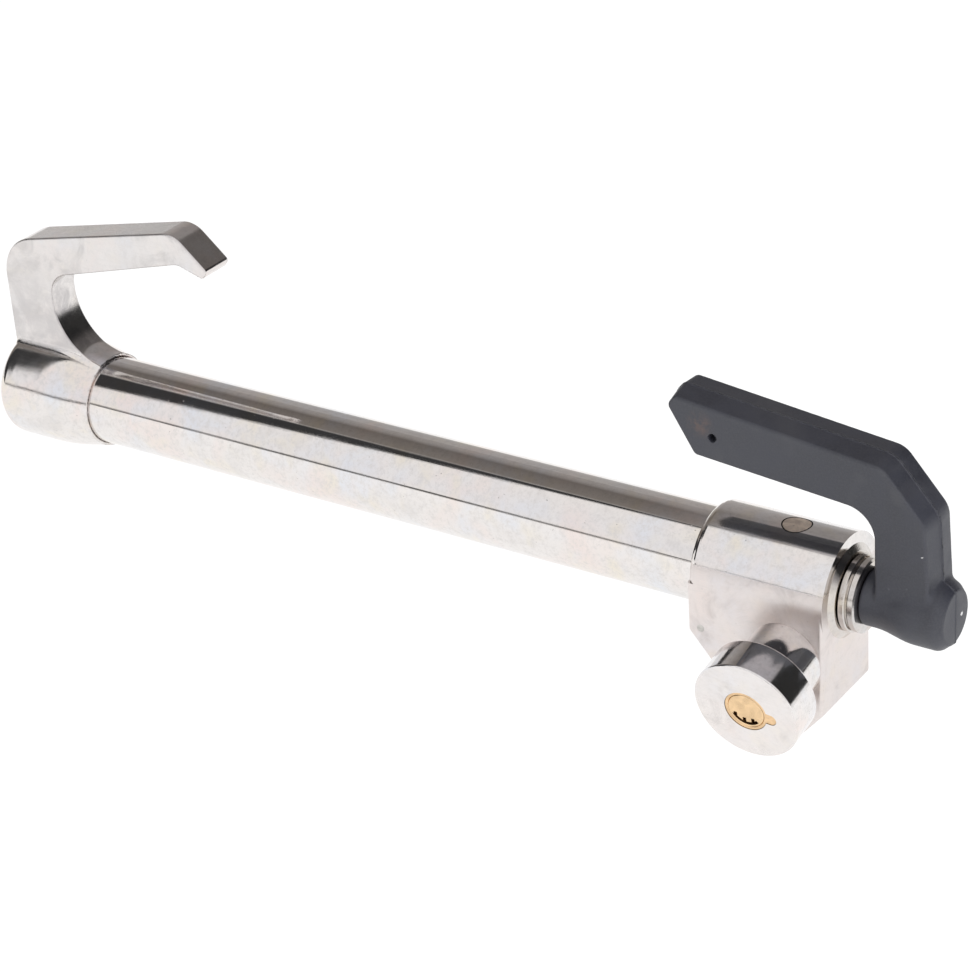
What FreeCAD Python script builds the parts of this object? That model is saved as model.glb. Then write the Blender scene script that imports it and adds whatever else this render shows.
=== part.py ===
import FreeCAD, Part
import math
import os

# Double-hook telescopic steering wheel lock. Millimetres, +Z up.
# Origin: centre of the end cap's flat closed face, on the tube's axis.
# +X runs along the tube to the lock and the handle, both hooks rise towards +Z,
# and the lock faces -Y.

V = FreeCAD.Vector
X_AXIS = V(1, 0, 0)
Y_AXIS = V(0, 1, 0)
Z_AXIS = V(0, 0, 1)

# ---- driving dimensions -------------------------------------------------

# tube and end cap
TUBE_R = 16.0
TUBE_BORE_R = 13.5
TUBE_SEAT_X = 12.0
CAP_R = 20.0
CAP_MOUTH_X = 41.0
CAP_MOUTH_R = 17.1
CAP_TAPER_X = 19.0
CAP_END_ROUND = 4.0

# left hook, a flat bar cast onto the cap
HOOK_THICK = 13.0
HOOK_BACK_X = 1.0
HOOK_THROAT_X = 22.0
HOOK_THROAT_Z = 15.5
HOOK_THROAT_R = 23.5
HOOK_CORNER_Z = 58.5
HOOK_EDGE_ROUND = 1.0

# lock housing
HOUSING_X = 292.5
HOUSING_LEN = 48.0
SLEEVE_R = 19.25
SLEEVE_NOSE_ROUND = 3.0
BLOCK_BACK_Y = 13.0
BLOCK_BOTTOM_Z = -46.0
BLOCK_SLOPE = 1.18

# lock axis: starts on the block's front face and leans down towards the user
LOCK_X = 327.0
LOCK_Z = -19.1
LOCK_TILT = 11.0
BOSS_R = 13.0
BOSS_LEN = 12.5
GUARD_R = 18.1
GUARD_LEN = 12.7
SHELL_R = 7.25
SHELL_BACK = -5.0
PLUG_R = 6.2
LOBE_REACH = 8.6
LOBE_R = 1.95
LOBE_ANGLE = -5.0
CHAMBER_R = 0.9
CHAMBER_STEPS = [6.0, 10.0, 14.0, 18.0]

# telescopic rod
ROD_R = 8.0
GROOVE_R = 5.0
GROOVE_WIDTH = 4.4
GROOVE_PITCH = 8.5
GROOVE_STEPS = 24
SPIGOT_R = 5.5
BOLT_X = 322.0
BOLT_R = 5.0
BOLT_TRAVEL = 3.2
CRANK_PIN_R = 1.5

# handle
GRIP_HALF = 8.0
GRIP_DRAFT = 1.4
GRIP_BACK_DRAFT = 0.5
CORE_HALF = 4.5
CORE_COVER = 3.6
GRIP_START_X = 347.7
GRIP_END_X = 376.5
GRIP_HUB_R = 11.3
GRIP_NECK_R = 9.2

# clearances, radial
RUNNING = 0.06
SLIP = 0.03
GUARD_GAP = 0.12

# ---- sizes worked out from them ------------------------------------------

ROD_TRAVEL = GROOVE_PITCH * GROOVE_STEPS
HOUSING_END_X = HOUSING_X + HOUSING_LEN
BLOCK_FRONT_Y = -SLEEVE_R
TUBE_END_X = HOUSING_X + 20.0
BUSH_X = TUBE_END_X + 0.7
BUSH_R = 11.0
RING_END_X = BUSH_X - ROD_TRAVEL - 0.3
RING_LEN = 9.6
FACE_S = BOSS_LEN + GUARD_LEN
CRANK_THROW = BOLT_TRAVEL / (math.sqrt(2.0) * math.cos(math.radians(LOCK_TILT)))
CRANK_S = -6.8
BOLT_TOP_Z = -ROD_R - 0.5
BOLT_BASE_Z = -29.0
SPRING_BASE_Z = -37.0

LOCK_FRAME = FreeCAD.Placement(
    V(LOCK_X, BLOCK_FRONT_Y, LOCK_Z),
    FreeCAD.Rotation(X_AXIS, 90.0 + LOCK_TILT),
)


# ---- helpers -------------------------------------------------------------

def save(name, shape):
    """Write one named piece."""
    shape.exportStep("parts/" + name + ".step")


def bar_x(radius, x_from, x_to):
    """Round bar along the tube's axis."""
    return Part.makeCylinder(radius, x_to - x_from, V(x_from, 0, 0), X_AXIS)


def tube_x(radius, bore, x_from, x_to):
    """Round tube along the tube's axis."""
    return bar_x(radius, x_from, x_to).cut(bar_x(bore, x_from - 1, x_to + 1))


def turned(points):
    """Solid turned about the tube's axis from (x, radius) points."""
    wire = Part.makePolygon([V(x, 0, r) for x, r in points + points[:1]])
    return Part.Face(wire).revolve(V(0, 0, 0), X_AXIS, 360)


def rounded_wire(corners, y=0.0):
    """Closed outline in the XZ plane from (x, z, corner radius)."""
    ends = []
    arcs = []
    count = len(corners)
    for i in range(count):
        x, z, radius = corners[i]
        here = V(x, y, z)
        before = V(corners[i - 1][0], y, corners[i - 1][1]).sub(here).normalize()
        after = V(corners[(i + 1) % count][0], y, corners[(i + 1) % count][1])
        after = after.sub(here).normalize()
        half = before.getAngle(after) / 2.0
        if radius == 0:
            ends.append((here, here))
            arcs.append(None)
            continue
        run = radius / math.tan(half)
        bisector = before.add(after).normalize()
        centre = here.add(V(bisector).multiply(radius / math.sin(half)))
        middle = centre.sub(V(bisector).multiply(radius))
        start = here.add(V(before).multiply(run))
        stop = here.add(V(after).multiply(run))
        ends.append((start, stop))
        arcs.append(Part.Arc(start, middle, stop))
    edges = []
    for i in range(count):
        if arcs[i]:
            edges.append(arcs[i].toShape())
        leave = ends[i][1]
        arrive = ends[(i + 1) % count][0]
        if leave.distanceToPoint(arrive) > 1e-6:
            edges.append(Part.LineSegment(leave, arrive).toShape())
    return Part.Wire(Part.__sortEdges__(edges))


def grown(corners, amount):
    """The same outline moved out by an amount, or in where it is negative."""
    count = len(corners)
    area = 0.0
    for i in range(count):
        x0, z0, _ = corners[i - 1]
        x1, z1, _ = corners[i]
        area += x0 * z1 - x1 * z0
    side = 1.0 if area > 0 else -1.0
    result = []
    for i in range(count):
        x, z, radius = corners[i]
        into = V(x - corners[i - 1][0], 0, z - corners[i - 1][1]).normalize()
        out = V(corners[(i + 1) % count][0] - x, 0, corners[(i + 1) % count][1] - z).normalize()
        into_normal = V(into.z, 0, -into.x).multiply(side)
        out_normal = V(out.z, 0, -out.x).multiply(side)
        shift = into_normal.add(out_normal)
        shift.multiply(amount / (1.0 + into_normal.dot(out_normal)))
        convex = side * (into.x * out.z - into.z * out.x) > 0
        if radius:
            radius = max(radius + (amount if convex else -amount), 0.4)
        result.append((x + shift.x, z + shift.z, radius))
    return result


def slab(corners, y_from, y_to):
    """Flat plate: a rounded XZ outline between two Y values."""
    face = Part.Face(rounded_wire(corners, y_from))
    return face.extrude(V(0, y_to - y_from, 0))


def in_lock(shape):
    """Move a piece from the lock's own frame (axis +Z) to its place."""
    placed = shape.copy()
    placed.Placement = LOCK_FRAME.multiply(placed.Placement)
    return placed


def lock_bar(radius, s_from, s_to, x=0.0, y=0.0):
    """Round bar in the lock's own frame."""
    return Part.makeCylinder(radius, s_to - s_from, V(x, y, s_from), Z_AXIS)


def at_angle(radius, degrees, height=0.0):
    """Point in the lock's own frame, from polar values."""
    turn = math.radians(degrees)
    return V(radius * math.cos(turn), radius * math.sin(turn), height)


def side_bar(radius, x, z, y_from, y_to):
    """Round bar along Y."""
    return Part.makeCylinder(radius, y_to - y_from, V(x, y_from, z), Y_AXIS)


# ---- left end: cap, hook and tube ------------------------------------------

def cap_profile():
    """Half section of the cap: rounded end, swelling, taper to the mouth."""
    points = [(0, 0), (0, CAP_R - CAP_END_ROUND)]
    for step in range(1, 9):
        turn = math.radians(90.0 * step / 8)
        x = CAP_END_ROUND * (1 - math.cos(turn))
        points.append((x, CAP_R - CAP_END_ROUND * (1 - math.sin(turn))))
    taper = CAP_MOUTH_X - CAP_TAPER_X
    for step in range(9):
        part = step / 8.0
        radius = CAP_R - (CAP_R - CAP_MOUTH_R) * part ** 1.5
        points.append((CAP_TAPER_X + taper * part, radius))
    return points + [(CAP_MOUTH_X, 0)]


def hook_corners():
    """Side view of the hook, clockwise from its foot."""
    rise = 0.214
    tip_x = 83.0
    foot_x = HOOK_THROAT_X + HOOK_THROAT_R + 2.0
    tip_z = HOOK_CORNER_Z + rise * (tip_x - HOOK_BACK_X)
    return [
        (HOOK_BACK_X, 8.0, 0),
        (HOOK_BACK_X, HOOK_CORNER_Z, 17.0),
        (tip_x, tip_z, 8.0),
        (tip_x + 14.0, tip_z - 12.2, 1.3),
        (tip_x + 11.6, tip_z - 15.2, 1.3),
        (tip_x + 0.5, tip_z - 11.8, 5.0),
        (HOOK_THROAT_X, 47.8, 10.0),
        (HOOK_THROAT_X, HOOK_THROAT_Z, HOOK_THROAT_R),
        (foot_x, HOOK_THROAT_Z, 0),
        (foot_x, 8.0, 0),
    ]


def make_hook_cap():
    hook = slab(hook_corners(), -HOOK_THICK / 2, HOOK_THICK / 2)
    rims = []
    for edge in hook.Edges:
        box = edge.BoundBox
        if box.YLength < 0.01 and box.ZMax > 9.0:
            rims.append(edge)
    hook = hook.makeFillet(HOOK_EDGE_ROUND, rims)
    hook = hook.cut(Part.makeBox(20, 40, 40, V(CAP_MOUTH_X - 0.2, -20, 0)))
    body = turned(cap_profile()).fuse(hook).removeSplitter()
    socket = bar_x(TUBE_R + SLIP, TUBE_SEAT_X, CAP_MOUTH_X + 1)
    return body.cut(socket)


def make_outer_tube():
    tube = tube_x(TUBE_R, TUBE_BORE_R, TUBE_SEAT_X, TUBE_END_X)
    return tube.cut(housing_pin_bars(0.02)[0])


# ---- right end: housing and its fixed pieces -------------------------------

def block_corners(inset=0.0, top=0.0):
    """Front view of the block: square shoulders, sloping lower corners."""
    left = HOUSING_X + inset
    right = HOUSING_END_X - inset
    bottom = BLOCK_BOTTOM_Z + inset
    left_knee = -17.4 + 0.4 * inset
    right_knee = -36.0 + 0.4 * inset
    left_foot = left + (left_knee - bottom) / BLOCK_SLOPE
    right_foot = right - (right_knee - bottom) / BLOCK_SLOPE
    return [
        (left, top, 0),
        (right, top, 0),
        (right, right_knee, 2.0),
        (right_foot, bottom, 4.0),
        (left_foot, bottom, 4.0),
        (left, left_knee, 2.0),
    ]


def housing_pin_bars(extra=0.0):
    """The two cross pins, near opposite corners of the block."""
    places = [(HOUSING_X + 4.6, -15.6), (HOUSING_END_X - 5.3, -38.1)]
    bars = []
    for x, z in places:
        bars.append(side_bar(1.3 + extra, x, z, BLOCK_FRONT_Y, BLOCK_BACK_Y))
    return bars


def shell_outline(extra):
    """Solid with the shell's section: a round body with its side lobe."""
    length = FACE_S - SHELL_BACK
    body = lock_bar(SHELL_R + extra, SHELL_BACK, FACE_S)
    tip = at_angle(LOBE_REACH, LOBE_ANGLE, SHELL_BACK)
    nose = Part.makeCylinder(LOBE_R + extra, length, tip, Z_AXIS)
    width = 2 * (LOBE_R + extra)
    web = Part.makeBox(LOBE_REACH, width, length, V(0, -width / 2, SHELL_BACK))
    web.rotate(V(0, 0, 0), Z_AXIS, LOBE_ANGLE)
    return body.fuse([nose, web]).removeSplitter()


def make_lock_housing():
    nose = SLEEVE_NOSE_ROUND
    profile = [(HOUSING_X, 0)]
    for step in range(9):
        turn = math.radians(90.0 * step / 8)
        x = HOUSING_X + nose * (1 - math.cos(turn))
        profile.append((x, SLEEVE_R - nose * (1 - math.sin(turn))))
    profile += [(HOUSING_END_X, SLEEVE_R), (HOUSING_END_X, 0)]
    sleeve = turned(profile)
    block = slab(block_corners(), BLOCK_FRONT_Y, BLOCK_BACK_Y)
    rims = []
    for edge in block.Edges:
        box = edge.BoundBox
        if box.YLength < 0.01 and box.ZMin < -1.0:
            rims.append(edge)
    block = block.makeFillet(1.2, rims)
    boss = in_lock(lock_bar(BOSS_R, -6.0, BOSS_LEN))
    body = sleeve.fuse([block, boss]).removeSplitter()

    pocket = slab(block_corners(5.5), 6.5, BLOCK_BACK_Y + 1)
    pocket = pocket.cut(Part.makeBox(80, 20, 60, V(HOUSING_X - 10, 0, -20.5)))
    bolt_wall = Part.makeCylinder(BOLT_R + 2.5, 60, V(BOLT_X, 0, -60), Z_AXIS)
    pin_wall = side_bar(3.4, HOUSING_END_X - 5.3, -38.1, 0, BLOCK_BACK_Y - 2.6)
    tools = [
        bar_x(TUBE_R + SLIP, HOUSING_X - 1, BUSH_X),
        bar_x(BUSH_R + SLIP, BUSH_X - 1, HOUSING_END_X + 1),
        in_lock(shell_outline(SLIP)),
        in_lock(lock_bar(8.1, CRANK_S - 2.8, SHELL_BACK + 0.01)),
        in_lock(lock_bar(4.0, -26.5, CRANK_S - 2.7)),
        Part.makeCylinder(BOLT_R + 0.05, -SPRING_BASE_Z, V(BOLT_X, 0, SPRING_BASE_Z), Z_AXIS),
        Part.makeCylinder(BOLT_R + 0.02, 30, V(BOLT_X, 0, 0), Z_AXIS),
        slab(block_corners(2.1, -14.3), BLOCK_BACK_Y - 2.5, BLOCK_BACK_Y + 1),
        pocket.cut([bolt_wall, pin_wall]),
    ]
    return body.cut(tools + housing_pin_bars(0.02))


def make_rear_cover():
    cover = slab(block_corners(2.2, -14.4), BLOCK_BACK_Y - 2.5, BLOCK_BACK_Y)
    return cover.cut(housing_pin_bars(0.02))


def make_lock_guard():
    disc = lock_bar(GUARD_R, BOSS_LEN, FACE_S)
    rims = [edge for edge in disc.Edges if edge.BoundBox.ZLength < 0.01]
    disc = disc.makeFillet(0.7, rims)
    return in_lock(disc.cut(shell_outline(GUARD_GAP)))


def make_bore_plug():
    """Pressed-in plug with a narrower top, so a fine groove shows round it."""
    plug = Part.makeCylinder(BOLT_R, 6.0, V(BOLT_X, 0, 12.0), Z_AXIS)
    plug = plug.fuse(Part.makeCylinder(BOLT_R - 0.22, 8.0, V(BOLT_X, 0, 12.0), Z_AXIS))
    return plug.common(bar_x(SLEEVE_R - 0.05, HOUSING_X, HOUSING_END_X))


def make_guide_bush():
    bush = turned([
        (BUSH_X, ROD_R + RUNNING),
        (BUSH_X, BUSH_R),
        (HOUSING_END_X, BUSH_R),
        (HOUSING_END_X, 15.5),
        (HOUSING_END_X + 1.4, 13.4),
        (HOUSING_END_X + 1.4, ROD_R + RUNNING),
    ])
    hole = Part.makeCylinder(BOLT_R + 0.3, 20, V(BOLT_X, 0, -20), Z_AXIS)
    return bush.cut(hole)


# ---- the lock --------------------------------------------------------------

def radial_bars(radius, r_from, r_to):
    """One short bar per pin chamber, pointing out along the lobe."""
    bars = []
    for height in CHAMBER_STEPS:
        foot = at_angle(r_from, LOBE_ANGLE, height)
        way = at_angle(1.0, LOBE_ANGLE)
        bars.append(Part.makeCylinder(radius, r_to - r_from, foot, way))
    return bars


def chamber_strip(extra=0.0):
    """Strip that closes the pin chambers along the lobe's outer edge."""
    strip = Part.makeBox(0.5, 1.8 + 2 * extra, 17.0 + 2 * extra,
                         V(9.9, -0.9 - extra, 3.5 - extra))
    strip.rotate(V(0, 0, 0), Z_AXIS, LOBE_ANGLE)
    return strip


def make_lock_shell():
    shell = shell_outline(0.0).cut(lock_bar(SHELL_R + 9, FACE_S - 0.2, FACE_S + 1))
    bore_r = PLUG_R + RUNNING
    mouth = Part.makeCone(bore_r, bore_r + 0.4, 0.4, V(0, 0, FACE_S - 0.4), Z_AXIS)
    tools = [lock_bar(bore_r, SHELL_BACK - 1, FACE_S + 1), mouth]
    tools += radial_bars(CHAMBER_R + 0.04, PLUG_R - 1, 9.95)
    tools.append(chamber_strip(0.02).fuse(chamber_strip(0.02).translated(at_angle(0.4, LOBE_ANGLE))))
    return in_lock(shell.cut(tools))


def make_chamber_cover():
    outline = shell_outline(-0.02)
    return in_lock(chamber_strip().common(outline))


def keyway():
    """Crescent slot with three square teeth that point up."""
    top = FACE_S + 1
    depth = 22.0
    ring = lock_bar(5.5, top - depth, top).cut(lock_bar(4.4, top - depth, top))
    wedge = Part.makePolygon([
        V(0, 0, top - depth),
        at_angle(20, 205, top - depth),
        at_angle(20, 262, top - depth),
        at_angle(20, 318, top - depth),
        V(0, 0, top - depth),
    ])
    crescent = ring.common(Part.Face(wedge).extrude(V(0, 0, depth)))
    teeth = []
    for x, reach in [(-3.9, 1.0), (-0.9, 1.4), (2.1, 1.4)]:
        floor = -math.sqrt(4.9 ** 2 - x ** 2)
        teeth.append(Part.makeBox(1.2, reach + 0.5, depth, V(x - 0.6, floor, top - depth)))
    return crescent.fuse(teeth)


def make_lock_plug():
    plug = lock_bar(PLUG_R, SHELL_BACK - 1.6, FACE_S - 0.2)
    face_rim = [edge for edge in plug.Edges if edge.BoundBox.ZMin > FACE_S - 0.3]
    plug = plug.makeChamfer(0.15, face_rim)
    groove = lock_bar(9, SHELL_BACK - 1.0, SHELL_BACK - 0.1)
    groove = groove.cut(lock_bar(5.4, SHELL_BACK - 2, SHELL_BACK + 1))
    tail = Part.makeBox(5.0, 5.0, 3.0, V(-2.5, -2.5, CRANK_S - 2.35))
    pins = radial_bars(CHAMBER_R + 0.04, 3.0, PLUG_R + 1)
    return in_lock(plug.cut([keyway(), groove] + pins).fuse(tail).removeSplitter())


def make_plug_clip():
    clip = lock_bar(7.4, SHELL_BACK - 0.9, SHELL_BACK - 0.15)
    clip = clip.cut(lock_bar(5.45, SHELL_BACK - 2, SHELL_BACK + 1))
    mouth = Part.makeBox(9.0, 7.0, 3.0, V(-4.5, -10.0, SHELL_BACK - 2))
    return in_lock(clip.cut(mouth))


def make_lock_crank():
    """Disc on the plug's square tail; its pin works in the bolt's notch."""
    disc = lock_bar(6.0, CRANK_S - 2.5, CRANK_S)
    hole = Part.makeBox(5.04, 5.04, 10, V(-2.52, -2.52, CRANK_S - 2.6))
    rest = at_angle(CRANK_THROW, 225.0)
    web = lock_bar(3.9, CRANK_S - 2.7, CRANK_S - 2.4)
    pin = lock_bar(CRANK_PIN_R, -25.5, CRANK_S - 2.5, rest.x, rest.y)
    return in_lock(disc.cut(hole).fuse([web, pin]).removeSplitter())


def make_lock_bolt():
    body = Part.makeCylinder(BOLT_R, -12.2 - BOLT_BASE_Z, V(BOLT_X, 0, BOLT_BASE_Z), Z_AXIS)
    blade = Part.makeBox(3.4, 9.0, BOLT_TOP_Z + 12.3, V(BOLT_X - 1.7, -4.5, -12.3))
    axis_z = LOCK_Z - BLOCK_FRONT_Y * math.tan(math.radians(LOCK_TILT))
    pin_z = axis_z - CRANK_THROW * math.sin(math.radians(45)) * math.cos(math.radians(LOCK_TILT))
    notch = Part.makeBox(8, 12, 5.5, V(BOLT_X + 0.8, -6, pin_z - 2.75))
    return body.fuse(blade).removeSplitter().cut(notch)


def make_bolt_spring():
    wire_r = 0.45
    coil_r = 3.9
    height = BOLT_BASE_Z - SPRING_BASE_Z - 2 * wire_r - 0.1
    helix = Part.makeHelix(height / 4.0, height, coil_r)
    start = V(coil_r, 0, 0)
    ring = Part.Wire(Part.makeCircle(wire_r, start, V(0, 1, 0)))
    coil = Part.Wire(helix).makePipeShell([ring], True, True)
    return coil.translated(V(BOLT_X, 0, SPRING_BASE_Z + wire_r + 0.05))


# ---- telescopic rod ---------------------------------------------------------

def make_inner_rod():
    neck_x = RING_END_X + 0.1
    rod = bar_x(ROD_R, neck_x, GRIP_START_X - 0.1)
    inner = bar_x(SPIGOT_R, neck_x - RING_LEN - 2.4, neck_x)
    outer = bar_x(SPIGOT_R, GRIP_START_X - 0.1, GRIP_START_X + 22)
    rod = rod.fuse([inner, outer]).removeSplitter()
    cuts = []
    for step in range(GROOVE_STEPS + 1):
        x = BOLT_X - GROOVE_PITCH * step
        cuts.append(tube_x(ROD_R + 1, GROOVE_R, x - GROOVE_WIDTH / 2, x + GROOVE_WIDTH / 2))
    clip_x = neck_x - RING_LEN - 1.4
    cuts.append(tube_x(ROD_R, SPIGOT_R - 1.0, clip_x, clip_x + 1.1))
    cuts.append(handle_pin_bar(0.02))
    return rod.cut(cuts)


def make_guide_ring():
    return tube_x(TUBE_BORE_R - 0.08, SPIGOT_R + RUNNING, RING_END_X - RING_LEN, RING_END_X)


def make_rod_snap_ring():
    clip_x = RING_END_X + 0.1 - RING_LEN - 1.35
    ring = tube_x(SPIGOT_R + 2.2, SPIGOT_R - 0.95, clip_x, clip_x + 1.0)
    mouth = Part.makeBox(4, 5, 20, V(clip_x - 1, -2.5, -20))
    return ring.cut(mouth)


# ---- handle -----------------------------------------------------------------

def handle_pin_bar(extra=0.0):
    return side_bar(1.6 + extra, GRIP_START_X + 14, 0, -7.6, 7.6)


def arm_corners():
    """Side view from the finger's root over the cut-off shoulder and down the leg."""
    leg_in = 352.8
    leg_out = 369.6
    shoulder = 7.0
    return [
        (355.3, 50.3, shoulder),
        (leg_out, 33.6, shoulder),
        (leg_out + 1.7, 2.0, 0),
        (leg_in, 2.0, 0),
        (leg_in, 34.0, 10.5),
    ]


def grip_corners():
    """Side view of the rubber grip: the arm with a slanting pointed tip."""
    return [(283.4, 58.7, 1.5)] + arm_corners() + [(290.2, 39.9, 2.0), (280.8, 55.3, 2.0)]


def core_corners():
    """Side view of the steel core: the same arm, cut off square, and thinner."""
    outline = [(287.0, 58.1, 0)] + arm_corners() + [(287.0, 39.9, 0)]
    return grown(outline, -CORE_COVER)


def make_handle_collar():
    first = HOUSING_END_X + 1.7
    return turned([
        (first, ROD_R),
        (first, 12.2),
        (first + 0.4, 12.7),
        (first + 2.0, 12.7),
        (first + 2.3, 12.3),
        (first + 2.3, 11.5),
        (first + 2.9, 11.5),
        (first + 2.9, 11.9),
        (first + 3.3, 12.2),
        (first + 5.0, 12.2),
        (GRIP_START_X - 0.1, 11.4),
        (GRIP_START_X - 0.1, ROD_R),
    ])


def core_envelope():
    """Bent bar and its round hub, before the rod's hole is bored."""
    bar = slab(core_corners(), -CORE_HALF, CORE_HALF)
    hub = bar_x(7.8, GRIP_START_X, GRIP_START_X + 24.5)
    return bar.fuse(hub).removeSplitter()


def make_handle_core():
    bore = bar_x(SPIGOT_R, GRIP_START_X - 1, GRIP_START_X + 22)
    return core_envelope().cut([bore, handle_pin_bar(0.02)])


def grip_half(side):
    """Half of the moulded grip, drawn in from the parting plane by its draft."""
    inset = GRIP_BACK_DRAFT if side > 0 else GRIP_DRAFT
    wide = rounded_wire(grown(grip_corners(), GRIP_DRAFT), 0)
    face = rounded_wire(grown(grip_corners(), GRIP_DRAFT - inset), side * GRIP_HALF)
    return Part.makeLoft([wide, face], True, True)


def make_grip_rubber():
    step = GRIP_START_X
    hub = turned([
        (step, 0),
        (step, GRIP_NECK_R),
        (step + 6, GRIP_NECK_R + 0.1),
        (step + 10, GRIP_NECK_R + 0.9),
        (step + 14.5, GRIP_HUB_R - 0.4),
        (step + 18, GRIP_HUB_R),
        (GRIP_END_X - 3.0, GRIP_HUB_R),
        (GRIP_END_X - 0.9, GRIP_HUB_R - 0.9),
        (GRIP_END_X, GRIP_HUB_R - 3.0),
        (GRIP_END_X, 0),
    ])
    leg = grip_half(1).fuse(grip_half(-1))
    body = hub.fuse(leg).removeSplitter()
    peep = side_bar(1.35, 296.8, 47.1, -GRIP_HALF - 1, -CORE_HALF)
    return body.cut([core_envelope(), peep])


# ---- write the pieces --------------------------------------------------------

def main():
    os.makedirs("parts", exist_ok=True)
    pieces = {
        "hook_cap": make_hook_cap(),
        "outer_tube": make_outer_tube(),
        "lock_housing": make_lock_housing(),
        "rear_cover": make_rear_cover(),
        "housing_pins": Part.makeCompound(housing_pin_bars()),
        "bore_plug": make_bore_plug(),
        "guide_bush": make_guide_bush(),
        "lock_guard": make_lock_guard(),
        "lock_shell": make_lock_shell(),
        "chamber_cover": make_chamber_cover(),
        "driver_pins": Part.makeCompound(
            [in_lock(bar) for bar in radial_bars(CHAMBER_R, PLUG_R + 0.1, 8.2)]),
        "pin_springs": Part.makeCompound(
            [in_lock(bar) for bar in radial_bars(0.7, 8.22, 9.88)]),
        "lock_plug": make_lock_plug(),
        "key_pins": Part.makeCompound(
            [in_lock(bar) for bar in radial_bars(CHAMBER_R, 3.05, PLUG_R - 0.05)]),
        "plug_clip": make_plug_clip(),
        "lock_crank": make_lock_crank(),
        "lock_bolt": make_lock_bolt(),
        "bolt_spring": make_bolt_spring(),
        "guide_ring": make_guide_ring(),
        "rod_snap_ring": make_rod_snap_ring(),
        "inner_rod": make_inner_rod(),
        "handle_collar": make_handle_collar(),
        "handle_core": make_handle_core(),
        "handle_pin": handle_pin_bar(),
        "grip_rubber": make_grip_rubber(),
    }
    for name, shape in pieces.items():
        solids = len(shape.Solids)
        print(name, "valid", shape.isValid(), "solids", solids, "volume", round(shape.Volume, 1))
        save(name, shape)


main()
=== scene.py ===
import math

import bpy
import numpy as np
from mathutils import Matrix, Vector


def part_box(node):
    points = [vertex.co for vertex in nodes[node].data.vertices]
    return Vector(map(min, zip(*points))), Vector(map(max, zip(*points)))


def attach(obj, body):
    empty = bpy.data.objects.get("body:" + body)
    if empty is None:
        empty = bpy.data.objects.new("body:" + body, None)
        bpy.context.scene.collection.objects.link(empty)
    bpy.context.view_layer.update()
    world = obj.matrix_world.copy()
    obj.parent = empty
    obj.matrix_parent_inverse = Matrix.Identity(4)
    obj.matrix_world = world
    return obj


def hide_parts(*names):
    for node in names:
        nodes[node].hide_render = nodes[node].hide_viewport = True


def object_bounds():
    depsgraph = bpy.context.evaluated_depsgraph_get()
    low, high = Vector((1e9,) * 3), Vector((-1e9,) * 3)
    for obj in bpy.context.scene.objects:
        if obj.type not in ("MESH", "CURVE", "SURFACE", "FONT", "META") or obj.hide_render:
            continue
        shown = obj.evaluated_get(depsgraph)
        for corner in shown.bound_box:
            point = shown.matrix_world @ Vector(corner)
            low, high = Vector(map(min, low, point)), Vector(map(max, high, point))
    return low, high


# Looks for the telescopic steering wheel lock. Metres, +Z up, in the CAD frame:
# +X runs along the tube to the handle, and the lock faces -Y.

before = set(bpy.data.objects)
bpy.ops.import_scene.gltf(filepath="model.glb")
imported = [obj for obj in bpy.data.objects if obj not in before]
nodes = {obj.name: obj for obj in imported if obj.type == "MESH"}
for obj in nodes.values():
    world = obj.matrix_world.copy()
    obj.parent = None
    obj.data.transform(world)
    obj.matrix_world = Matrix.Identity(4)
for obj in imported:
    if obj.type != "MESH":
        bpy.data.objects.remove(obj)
cad_low, cad_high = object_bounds()
MM = 0.001


# ---- node graphs ---------------------------------------------------------------

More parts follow.
